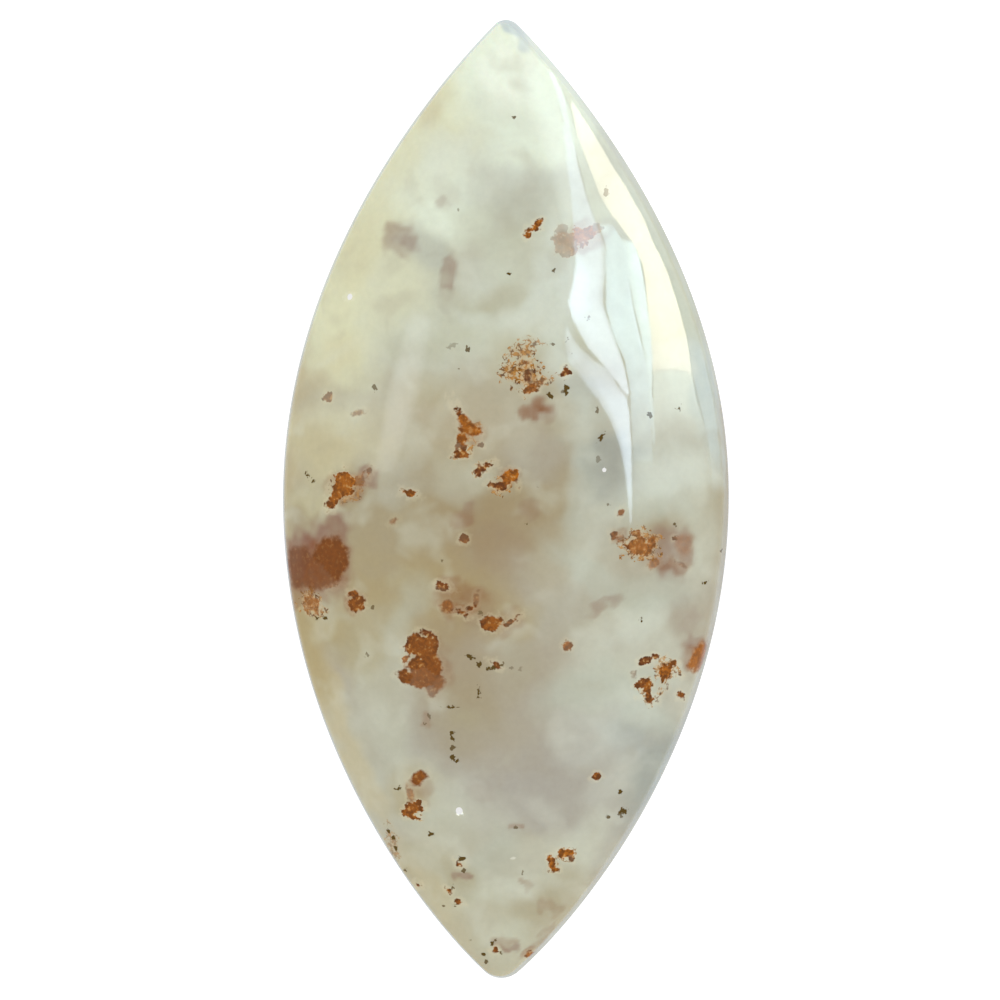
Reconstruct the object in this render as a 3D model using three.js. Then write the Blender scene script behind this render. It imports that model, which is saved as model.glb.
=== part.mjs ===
import * as THREE from "three";
import { mergeVertices } from "three/addons/utils/BufferGeometryUtils.js";

// A plume agate cabochon: one polished stone, cut as a long pointed oval.
// Millimetres, +Z up. It lies on its flat back at z = 0, its long axis along Y,
// its sharper tip towards +Y and the middle of its back at the origin.

// Outline from above. Each end starts at the widest line: its sides would meet
// at taper, and they give way to a round tip at sidesEnd. A lower power is fuller.
const halfWidth = 10.734;
const upperEnd = { taper: 23.163, power: 0.95, sidesEnd: 22.6465 };
const lowerEnd = { taper: 23.436, power: 0.88, sidesEnd: 22.8011 };

// The right side stands out by this share more than the mean, the left by it less
const rightFuller = 0.0087;

// Section, from the back up: bevel, wall that leans inwards, domed face
const backBevel = 0.35;
const wallTop = 1.8;
const wallLean = 0.23;
const domeRise = 4.0;
const domeArc = THREE.MathUtils.degToRad(60);

// Steps of the faceted surface
const sideSteps = 22;
const tipSteps = 5;
const domeSteps = 11;

// Half the width of the pointed oval at a distance along the stone
function sideWidth(end, along) {
  return halfWidth * (1 - (along / end.taper) ** 2) ** end.power;
}

// Distance along the stone at which the side's normal meets the long axis
function normalFoot(end, along) {
  const share = along / end.taper;
  const steepness = (1 - share ** 2) ** (2 * end.power - 1);
  return along - (2 * end.power * halfWidth ** 2 * steepness * share) / end.taper;
}

// Stations of one end on the right side, from the widest line to the tip. Each is a
// foot on the long axis, with the angle and length of the normal from there to the
// outline. Round the tip the foot stays, so the tip is an arc that meets the side
// without a corner.
function endStations(end) {
  const stations = [];
  for (let step = 0; step <= sideSteps; step += 1) {
    const along = (end.sidesEnd * step) / sideSteps;
    const foot = normalFoot(end, along);
    const normal = new THREE.Vector2(sideWidth(end, along), along - foot);
    stations.push({ foot, angle: normal.angle(), reach: normal.length() });
  }
  const join = stations[sideSteps];
  for (let step = 1; step <= tipSteps; step += 1) {
    const angle = THREE.MathUtils.lerp(join.angle, Math.PI / 2, step / tipSteps);
    stations.push({ ...join, angle });
  }
  return stations;
}

// Stations from the lower tip to the upper tip
function outlineStations() {
  const lower = endStations(lowerEnd).slice(1).reverse();
  const turned = lower.map(({ foot, angle, reach }) => ({ foot: -foot, angle: -angle, reach }));
  return [...turned, ...endStations(upperEnd)];
}

// The right half of the section at a station, middle of the back to top of the dome
function halfSection({ foot, angle, reach }) {
  const edge = (inset, height) => {
    const normal = new THREE.Vector2(Math.cos(angle), Math.sin(angle));
    const { x, y } = normal.multiplyScalar(reach - inset);
    return new THREE.Vector3(x, foot + y, height);
  };
  const back = edge(backBevel, 0);
  const girdle = edge(0, backBevel);
  const crease = edge(wallLean, wallTop);
  const section = [new THREE.Vector3(0, back.y, 0), back, girdle];
  // The face is an arc of an ellipse across the stone. It is lower where the stone is
  // narrow and where its side runs aslant, so that its shoulder is as steep all round.
  const rise = (domeRise * crease.x * Math.cos(angle)) / (halfWidth - wallLean);
  for (let step = 0; step <= domeSteps; step += 1) {
    const turn = domeArc * (1 - step / domeSteps);
    const across = Math.sin(turn) / Math.sin(domeArc);
    const lift = (Math.cos(turn) - Math.cos(domeArc)) / (1 - Math.cos(domeArc));
    section.push(new THREE.Vector3(crease.x * across, crease.y, wallTop + rise * lift));
  }
  return section;
}

// The whole section as a closed ring of points, seen along +Y: up the right side,
// over the face and down the left side
function closedSection(station) {
  const right = halfSection(station);
  const left = right.slice(1, -1).reverse();
  const mirrored = left.map((point) => new THREE.Vector3(-point.x, point.y, point.z));
  return [...right, ...mirrored];
}

function stoneGeometry() {
  const stations = outlineStations();
  const rings = stations.map(closedSection);
  const lowerTip = stations[0].foot - stations[0].reach;
  const upperTip = stations.at(-1).foot + stations.at(-1).reach;
  const middle = (lowerTip + upperTip) / 2;

  const positions = [];
  for (const point of rings.flat()) {
    const fuller = point.x > 0 ? 1 + rightFuller : 1 - rightFuller;
    positions.push(point.x * fuller - halfWidth * rightFuller, point.y - middle, point.z);
  }

  const ringSize = rings[0].length;
  const index = [];
  for (let row = 0; row < rings.length - 1; row += 1) {
    for (let column = 0; column < ringSize; column += 1) {
      const here = row * ringSize + column;
      const next = row * ringSize + ((column + 1) % ringSize);
      index.push(here, here + ringSize, next);
      index.push(next, here + ringSize, next + ringSize);
    }
  }

  const geometry = new THREE.BufferGeometry();
  geometry.setAttribute("position", new THREE.Float32BufferAttribute(positions, 3));
  geometry.setIndex(index);
  return closeTips(mergeVertices(geometry));
}

// At the tips each ring shrinks to a few points, so some triangles have no area
function closeTips(geometry) {
  const corners = Array.from(geometry.index.array);
  const kept = [];
  for (let first = 0; first < corners.length; first += 3) {
    const [a, b, c] = corners.slice(first, first + 3);
    if (a !== b && b !== c && c !== a) {
      kept.push(a, b, c);
    }
  }
  geometry.setIndex(kept);
  geometry.computeVertexNormals();
  return geometry;
}

// Milky grey-green chalcedony with a high polish
const polishedAgate = new THREE.MeshStandardMaterial({
  color: 0xb4b69c,
  roughness: 0.08,
  metalness: 0,
});

const stone = new THREE.Mesh(stoneGeometry(), polishedAgate);
stone.name = "agate_cabochon";

const cabochon = new THREE.Group();
cabochon.add(stone);

export default cabochon;
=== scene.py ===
import math

import bmesh
import bpy
import numpy as np
from mathutils import Matrix, Vector, noise


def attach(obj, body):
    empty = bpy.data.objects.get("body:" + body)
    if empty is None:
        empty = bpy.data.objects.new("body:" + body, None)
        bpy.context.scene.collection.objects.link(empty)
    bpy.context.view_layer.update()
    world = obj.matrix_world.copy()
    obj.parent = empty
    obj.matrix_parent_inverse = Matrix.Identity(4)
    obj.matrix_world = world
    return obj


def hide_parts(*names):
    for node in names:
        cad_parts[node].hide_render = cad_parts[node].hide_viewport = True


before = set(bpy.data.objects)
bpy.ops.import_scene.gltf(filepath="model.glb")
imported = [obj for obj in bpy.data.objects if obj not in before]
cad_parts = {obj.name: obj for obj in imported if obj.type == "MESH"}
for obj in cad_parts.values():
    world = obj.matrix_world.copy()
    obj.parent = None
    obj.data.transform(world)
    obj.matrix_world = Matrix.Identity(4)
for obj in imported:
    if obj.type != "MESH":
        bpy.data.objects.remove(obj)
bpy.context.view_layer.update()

MM = 0.001

# Outline and section of the stone
HALF_WIDTH = 10.734 * MM
RIGHT_FULLER = 0.0087
UPPER_TAPER, UPPER_POWER, UPPER_SIDES_END = 23.163 * MM, 0.95, 22.6465 * MM
LOWER_TAPER, LOWER_POWER, LOWER_SIDES_END = 23.436 * MM, 0.88, 22.8011 * MM
BACK_BEVEL = 0.35 * MM
WALL_TOP = 1.8 * MM
WALL_LEAN = 0.23 * MM
DOME_RISE = 4.0 * MM
DOME_ARC = math.radians(60)

# Colours of the stone under its gloss
TONES = {
    "pale cream": "#F0F8EA", "cream": "#E2ECDB", "pale straw": "#D9DAB9", "straw": "#CDC9A6",
    "old ivory": "#BDB28F", "ochre": "#AA996B", "mist": "#D0D7CB", "milk": "#C8CCBC",
    "green grey": "#C0C3AE", "smoke": "#B6BAAF", "grey milk": "#B6B5A4", "warm grey": "#ADA693",
    "umber grey": "#A49879", "brown grey": "#9C8864", "lilac": "#AAA69B", "slate": "#A2A69D",
    "ice": "#BECBCC", "blue milk": "#ADB7B2", "green milk": "#BBC1B2", "olive": "#AAA386",
    "sand": "#B4AE96",
}

# The ground colour from the lower tip to the upper tip: place along the stone and tone. It is
# darkest in the thick middle and paler at the thin tips: partly the stone's own tone, partly
# painted light shining through the thin ends.
GROUND_AND_GLOW = [
    (-22, "sand"), (-18, "sand"), (-15, "grey milk"), (-12, "lilac"), (-8, "warm grey"),
    (-4, "warm grey"), (0, "umber grey"), (4, "warm grey"), (8, "green grey"), (12, "green grey"),
    (16, "milk"), (20, "cream"),
]

# Milky clouds under the face: tone, middle across and along the stone, length and width
# in mm, turn in degrees from +X, strength, and softness of the edge. Along the rim and at
# the tips they are partly painted light: warm and pale where the thin stone lets light
# through, and bluish strips of painted reflection along the right rim.
CLOUDS_AND_GLOW = [
    ("pale straw", -5, 14.8, 17.3, 4.3, 66, 0.75, 0.5),
    ("old ivory", -3.6, 18.6, 2.2, 1.2, 60, 0.45, 0.6),
    ("straw", -7.3, 11.4, 4.3, 1.9, 62, 0.5, 0.6),
    ("pale straw", -7.5, 8.2, 5.3, 4.3, 80, 0.7, 0.5),
    ("straw", -7.8, 7.1, 2.9, 1.6, 20, 0.6, 0.6), ("old ivory", -10.2, 2.9, 11, 1, 86, 0.6, 0.6),
    ("old ivory", -9.8, 5.5, 2.9, 1.2, 10, 0.5, 0.6), ("milk", -4.9, 9.8, 3.8, 3.4, 80, 0.5, 0.6),
    ("cream", -0, 20.3, 5.8, 4.3, 90, 0.9, 0.5), ("cream", 2.2, 18, 4.3, 1.9, 110, 0.8, 0.6),
    ("green grey", -0.2, 18.8, 1.7, 2.1, 90, 0.35, 0.6),
    ("pale straw", -2, 17.2, 2.4, 2.9, 60, 0.4, 0.6),
    ("mist", -2.8, 15.6, 4.3, 3.4, 60, 0.5, 0.6), ("smoke", 0.6, 14.3, 4.3, 3.4, 20, 0.38, 0.45),
    ("warm grey", -2.8, 14.6, 1.3, 1.1, 0, 0.4, 0.6), ("cream", -3, 13.3, 3.2, 1, -30, 0.45, 0.7),
    ("smoke", -3.7, 12.1, 2.7, 1.6, -15, 0.6, 0.5),
    ("warm grey", -1.5, 11.4, 2.9, 1.9, 80, 0.4, 0.6),
    ("olive", 1.8, 11.6, 2.4, 1.6, 0, 0.3, 0.6), ("mist", 2.8, 12.7, 1.4, 0.8, 30, 0.5, 0.6),
    ("milk", -1, 10.3, 2.9, 1, -20, 0.5, 0.6), ("olive", 0.4, 9.6, 1.9, 1.7, 0, 0.4, 0.5),
    ("mist", -0.5, 8.8, 3.6, 0.9, -8, 0.4, 0.6), ("mist", 1.3, 8.8, 2.1, 0.9, 55, 0.5, 0.6),
    ("mist", 2.1, 10, 2.2, 1.1, 60, 0.4, 0.6), ("milk", -3.6, 9.4, 2.9, 3.4, 85, 0.25, 0.6),
    ("milk", -0.9, 7.6, 2.9, 1.1, 10, 0.5, 0.6), ("olive", 2.5, 7.5, 1.4, 3.4, 10, 0.2, 0.5),
    ("slate", 3.9, 5.4, 1.9, 1.6, -40, 0.6, 0.5), ("milk", -7.7, 4.1, 2.7, 1.9, 10, 0.7, 0.5),
    ("milk", -5.7, 4.1, 3.4, 2.9, 0, 0.45, 0.6), ("straw", -8.7, 2.9, 2.9, 3.4, 80, 0.3, 0.6),
    ("olive", -2.8, 5.3, 2.9, 1.6, 0, 0.6, 0.5), ("warm grey", -1.2, 5.6, 2.2, 2.9, 0, 0.4, 0.6),
    ("milk", -2.5, 4.2, 3.2, 0.8, 50, 0.3, 0.6), ("grey milk", -5.1, 2.6, 2.4, 3.4, 80, 0.7, 0.6),
    ("old ivory", -7.9, 2.2, 4.3, 1.9, 0, 0.4, 0.6),
    ("grey milk", -4.7, 0.4, 4.3, 1.2, 10, 0.5, 0.6),
    ("green grey", -1.1, 1.3, 3.6, 1.2, -22, 0.35, 0.6),
    ("lilac", 1.5, 2.7, 2.9, 2.9, 0, 0.5, 0.6), ("milk", 0.8, 3.7, 4.3, 0.9, 100, 0.2, 0.7),
    ("umber grey", -2.1, -0.3, 4.3, 2.9, 0, 0.5, 0.6),
    ("brown grey", -1.7, -2.7, 4.3, 6.2, 0, 0.6, 0.6),
    ("brown grey", 0.8, -0.8, 3.4, 2.9, 0, 0.45, 0.6),
    ("umber grey", -5.4, -3, 4.3, 5.3, 0, 0.6, 0.6), ("ochre", -6.4, -3.9, 2.9, 4.3, 0, 0.4, 0.6),
    ("green grey", -4.6, -3.8, 1.4, 1.4, 0, 0.35, 0.6),
    ("ochre", -3.3, -4.6, 6.2, 4.3, 20, 0.55, 0.6),
    ("brown grey", -1.7, -7.2, 2.9, 5.8, 0, 0.45, 0.6),
    ("green milk", 4.2, 3.7, 2.9, 3.4, 80, 0.5, 0.6), ("slate", 5.5, 1.5, 3.8, 3.2, 0, 0.85, 0.4),
    ("smoke", 4.8, -0.4, 3.4, 2.9, 0, 0.5, 0.6),
    ("green milk", 3.7, 0.1, 6.2, 1.4, 78, 0.35, 0.6), ("mist", 3.6, 1.6, 2.9, 0.8, 70, 0.2, 0.6),
    ("mist", 8.5, 1.1, 3.4, 1.6, 15, 0.45, 0.6), ("mist", 8.9, 2.9, 3.8, 3.4, 0, 0.55, 0.6),
    ("mist", 9.2, 5.8, 2.9, 4.3, 100, 0.7, 0.6), ("blue milk", 9.9, 4.8, 5.8, 1.2, 98, 0.6, 0.6),
    ("mist", 8.7, 3.6, 3.8, 2.9, 20, 0.3, 0.6), ("green milk", 7.3, -0.2, 3.4, 1.7, 0, 0.7, 0.6),
    ("milk", 9.4, -2.1, 5.3, 2.2, 88, 0.6, 0.6), ("milk", 4.8, -2, 5.3, 2.9, 50, 0.55, 0.6),
    ("sand", 2.4, -2.7, 3.4, 1.9, 80, 0.5, 0.5), ("mist", 4.3, -2.7, 4.3, 0.9, 62, 0.25, 0.6),
    ("green milk", 4.8, -3.7, 5.8, 1.4, -35, 0.45, 0.5),
    ("olive", 5.6, -4.6, 4.4, 1.1, 35, 0.45, 0.5),
    ("grey milk", 2.9, -5.1, 4.3, 1.7, 10, 0.5, 0.6), ("milk", 6.6, -6.6, 6.2, 4.3, 30, 0.7, 0.5),
    ("mist", 6.7, -5.7, 3.4, 1.2, 35, 0.3, 0.6), ("warm grey", 8.9, -5, 2.4, 3.4, 60, 0.5, 0.6),
    ("green milk", 7.3, -4.2, 3.4, 1.9, 0, 0.6, 0.6),
    ("old ivory", -7.4, -6.4, 4.8, 2.9, -62, 0.35, 0.6),
    ("olive", -7.8, -6, 3.8, 2.2, -62, 0.7, 0.6),
    ("green grey", -5.5, -9, 6.2, 3.4, 84, 0.5, 0.6), ("milk", -6.1, -9, 3.4, 1.2, 84, 0.4, 0.6),
    ("green milk", -4.2, -5.1, 2.9, 1.2, 60, 0.4, 0.6),
    ("pale straw", -7.8, -11.2, 6.2, 1.9, -62, 0.35, 0.6),
    ("green grey", -3.8, -13.3, 6.2, 3.4, -50, 0.5, 0.5),
    ("lilac", -3.3, -11.1, 2.9, 1.9, 0, 0.4, 0.6),
    ("umber grey", -1.4, -10, 4.3, 3.8, 0, 0.6, 0.6),
    ("olive", -1.6, -10.4, 1.9, 1.4, 0, 0.4, 0.6),
    ("warm grey", 1, -11.3, 5.8, 2.9, 20, 0.6, 0.5),
    ("green milk", 4.3, -8.9, 4.3, 2.4, 20, 0.65, 0.5),
    ("milk", -1.4, -14.2, 6.2, 1.9, -10, 0.45, 0.5), ("lilac", 4.3, -11.1, 2.9, 1.7, 0, 0.3, 0.6),
    ("lilac", 3.1, -14.2, 6.2, 3.8, -12, 0.75, 0.4),
    ("lilac", 0.5, -14.2, 5.3, 2.9, -10, 0.45, 0.6),
    ("blue milk", 6.6, -11.2, 3.4, 2.9, 0, 0.55, 0.6),
    ("green milk", 7.6, -9.5, 3.8, 2.9, 0, 0.75, 0.6),
    ("slate", 7.9, -12.6, 3.8, 1.7, 60, 0.7, 0.5), ("mist", 5.7, -13.3, 3.4, 1.6, 40, 0.35, 0.6),
    ("olive", -2.9, -17.7, 4, 2.9, -10, 0.65, 0.2),
    ("green milk", -0.2, -16.9, 2.9, 2.4, 90, 0.55, 0.5),
    ("milk", -0.1, -18.6, 2.4, 1.6, 0, 0.5, 0.5), ("milk", 4.3, -16.5, 3.8, 2.2, 50, 0.6, 0.5),
    ("milk", 2.1, -17.2, 4.3, 1.9, 20, 0.45, 0.6),
    ("green grey", -1.2, -19.8, 5.8, 2.9, -20, 0.5, 0.5),
    ("olive", 2.1, -18.7, 2.9, 1.9, 40, 0.5, 0.6),
    ("green grey", -0.1, -21.3, 3.8, 2.4, 0, 0.4, 0.6),
    ("ice", 0.8, 22.2, 2.7, 0.6, -52, 0.95, 0.4), ("cream", -3, 14.8, 4.3, 3.4, 60, 0.4, 0.6),
    ("cream", -2.2, 13.3, 3.4, 1.7, -10, 0.6, 0.6), ("mist", 2.1, 10.3, 2.9, 4.8, 0, 0.35, 0.6),
    ("pale straw", -7.9, 2.9, 4.3, 3.8, 0, 0.4, 0.6), ("mist", 3.8, 4.4, 2.4, 2.9, 0, 0.4, 0.6),
    ("mist", 8.1, 1.3, 2.9, 2.9, 0, 0.5, 0.6), ("mist", 4.3, -11.3, 2.9, 2.4, 0, 0.5, 0.6),
    ("mist", 6.3, -9.7, 3.4, 1.9, 0, 0.35, 0.6), ("lilac", 1.7, -13.1, 3.4, 1.9, 0, 0.4, 0.6),
    ("ochre", -9.6, -5.3, 3.8, 1.6, -76, 0.5, 0.6),
    ("old ivory", -8.5, -9.1, 5.3, 1.3, -68, 0.55, 0.6),
    ("old ivory", -6.8, -12.9, 4.8, 1.2, -64, 0.55, 0.6),
    ("old ivory", -3.3, -18.9, 5.3, 1.2, -56, 0.45, 0.6),
    ("slate", 7.6, -12.9, 5.8, 1.6, 62, 0.9, 0.5), ("lilac", 5.4, -16.5, 4.3, 1.1, 55, 0.45, 0.6),
    ("grey milk", 9.1, -9.6, 3.8, 1.3, 68, 0.6, 0.6), ("mist", 2.7, 10.3, 8.2, 1.7, 92, 0.7, 0.6),
    ("mist", 3.1, 6.7, 2.1, 1.4, -40, 0.6, 0.6), ("cream", 1, 16.7, 2.9, 2.2, 20, 0.65, 0.6),
    ("mist", 1.1, 15.5, 2.4, 1.2, 0, 0.4, 0.6), ("pale cream", 0.3, 20.3, 2.4, 3.2, 0, 0.6, 0.6),
    ("mist", 6.4, 4.4, 3.4, 1.9, 88, 0.5, 0.6), ("mist", 7.5, 1, 2.9, 2.4, 0, 0.6, 0.6),
    ("milk", -3, 6, 2.9, 1.9, 0, 0.45, 0.6), ("grey milk", -5.7, 1.3, 1.9, 1.9, 0, 0.5, 0.6),
    ("pale straw", -4.7, 9.8, 2.4, 2.9, 0, 0.5, 0.6),
    ("ochre", -9.6, -7.3, 5.8, 2, -74, 0.7, 0.6), ("ochre", -8.4, -5.8, 2.4, 1.6, -30, 0.6, 0.6),
    ("ochre", -7, -6.3, 2.4, 1.2, -20, 0.25, 0.6), ("ochre", -6.5, -7.3, 2.4, 1.6, 0, 0.35, 0.6),
    ("ochre", -8.5, 2.6, 2.4, 1.9, 0, 0.25, 0.6), ("ochre", 0.6, -5.7, 2.4, 1.6, 20, 0.4, 0.6),
    ("sand", -0.8, -20.3, 2.4, 1.9, 0, 0.5, 0.6), ("olive", -3.2, -16.8, 2.4, 1.7, 0, 0.35, 0.6),
    ("warm grey", 8.7, -9.1, 2.6, 1.9, 60, 0.6, 0.6),
    ("warm grey", 9.5, -6.4, 2.1, 1.4, 80, 0.5, 0.6),
    ("green grey", -1.2, 13.3, 2.4, 1.7, 0, 0.45, 0.6),
    ("lilac", 3, -11.4, 2.4, 2.4, 0, 0.5, 0.6), ("grey milk", 7.3, -3.6, 2.4, 1.2, 0, 0.4, 0.6),
    ("umber grey", 2.7, 4.4, 2.1, 2.1, 0, 0.5, 0.6), ("milk", 1.7, -17.9, 1.7, 1.4, 0, 0.45, 0.6),
    ("mist", -0.6, 11.1, 2.4, 1.9, 0, 0.4, 0.6),
    ("umber grey", -3.9, -1.6, 2.1, 1.9, 0, 0.65, 0.6),
    ("old ivory", -3.5, 3.7, 11.5, 3.8, 0, 0.35, 0.6),
    ("old ivory", 1, 6.5, 2.9, 2.9, 0, 0.25, 0.6), ("ochre", -1.3, -4.6, 2.4, 2.4, 0, 0.3, 0.6),
    ("ochre", -3.8, -13.4, 2.4, 2.4, 0, 0.25, 0.6), ("olive", -6.3, -7.6, 2.4, 2.9, 0, 0.35, 0.6),
    ("olive", 1, -7.5, 2.4, 2.4, 0, 0.3, 0.6), ("milk", -1.5, 1, 2.4, 1.7, 0, 0.3, 0.6),
    ("ochre", 0.6, -4.8, 1.7, 1.4, 0, 0.3, 0.6), ("pale straw", -9, 0.3, 1.9, 1.4, 0, 0.35, 0.6),
    ("mist", 2.9, 10.7, 2.1, 1.9, 0, 0.4, 0.6), ("ochre", -4.7, -13.9, 1.9, 1.9, 0, 0.45, 0.6),
]

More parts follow.
